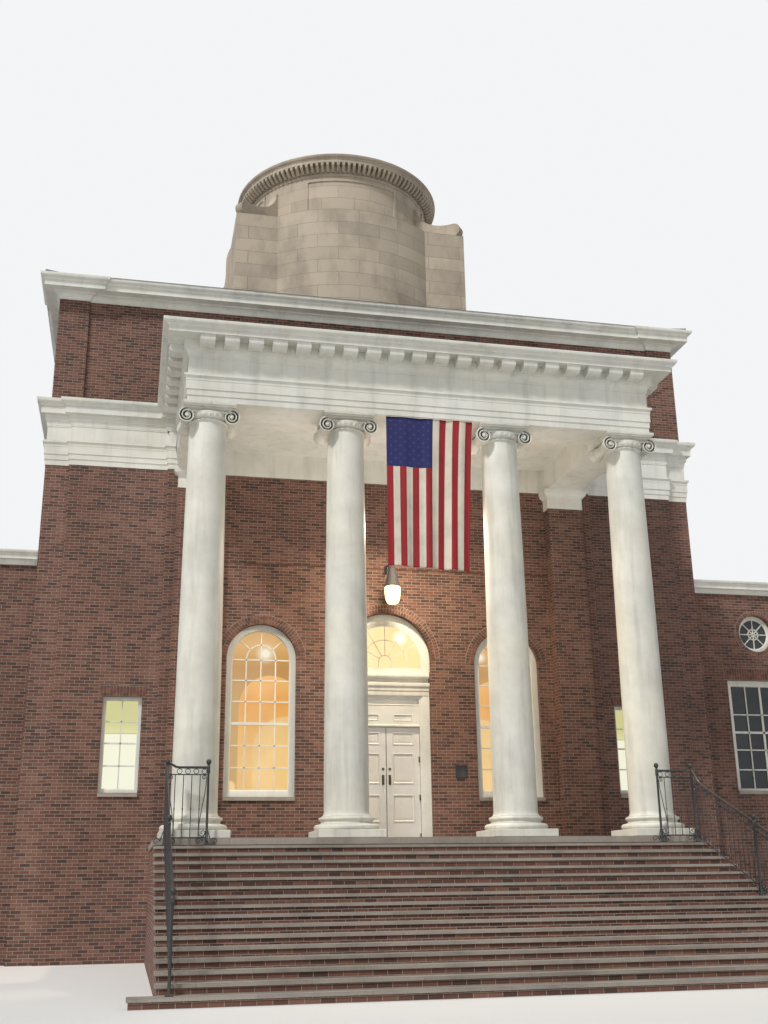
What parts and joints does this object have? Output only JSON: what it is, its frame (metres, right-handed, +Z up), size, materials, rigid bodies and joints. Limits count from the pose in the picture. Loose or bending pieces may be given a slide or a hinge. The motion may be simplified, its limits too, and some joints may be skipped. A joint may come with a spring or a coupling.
{
  "type": "town hall building",
  "caption": "Brick town hall: four-column Ionic porch on broad steps, paired door, arched windows, attic storey, round drum with dome, low side wings.",
  "frame": {"origin": "middle of the outline at ground level", "axes": "+X along the facade to the viewer's right, +Y from the steps into the building, +Z up"},
  "size_m": [35.54, 22.445, 22.74],
  "materials": {
    "brick": "rough red-brown brick with pale joints",
    "white_paint": "weathered off-white paint on timber and sheet",
    "column_paint": "off-white painted stone, slightly rough",
    "granite": "sawn light granite",
    "limestone": "smooth weathered limestone",
    "iron": "black painted wrought iron",
    "roofing": "dark slate and sheet roofing",
    "dome_metal": "dull weathered sheet metal",
    "glass": "clear window glass",
    "floor_stone": "worn stone floor",
    "door_paint": "satin white paint on panelled timber",
    "cloth": "woven bunting"
  },
  "bodies": {
    "building": {"porch_base": "brick", "step_core": "brick", "step_treads": "granite", "porch_floor": "granite", "column_1": "column_paint", "column_2": "column_paint", "column_3": "column_paint", "column_4": "column_paint", "capital_1": "column_paint", "capital_2": "column_paint", "capital_3": "column_paint", "capital_4": "column_paint", "porch_beam_front": "white_paint", "porch_beam_sides": "white_paint", "porch_cornice_front": "white_paint", "porch_cornice_sides": "white_paint", "modillions": "white_paint", "porch_roof": "roofing", "porch_ceiling": "white_paint", "antae": "brick", "front_wall_left": "brick", "front_wall_right": "brick", "doorway_wall": "brick", "side_wall_left": "brick", "side_wall_right": "brick", "rear_wall": "brick", "main_floor": "floor_stone", "porch_wall_band": "white_paint", "main_entablature": "white_paint", "main_cornice": "white_paint", "attic_walls": "brick", "attic_cornice": "white_paint", "main_roof": "roofing", "drum_base": "limestone", "scroll_buttresses": "limestone", "drum": "limestone", "drum_cornice": "limestone", "dome": "dome_metal", "window_frames": "white_paint", "window_glass": "glass", "window_sills": "granite", "door_frame": "white_paint", "fanlight": "white_paint", "left_wing_walls": "brick", "right_wing_walls": "brick", "wing_floors": "floor_stone", "left_wing_cornice": "white_paint", "right_wing_cornice": "white_paint", "wing_roofs": "roofing", "left_railing": "iron", "right_railing": "iron", "lantern": "iron", "flag": "cloth"},
    "left_leaf": {"door_leaf_left": "door_paint"},
    "right_leaf": {"door_leaf_right": "door_paint"}
  },
  "joints": [
    {"name": "left_leaf_hinge", "type": "hinge", "parent": "building", "child": "left_leaf", "pos_m": [-0.74, -1.9275, 3.46], "axis": [0, 0, -1], "range_deg": [0, 90]},
    {"name": "right_leaf_hinge", "type": "hinge", "parent": "building", "child": "right_leaf", "pos_m": [0.74, -1.9275, 3.46], "axis": [0, 0, 1], "range_deg": [0, 90]}
  ]
}
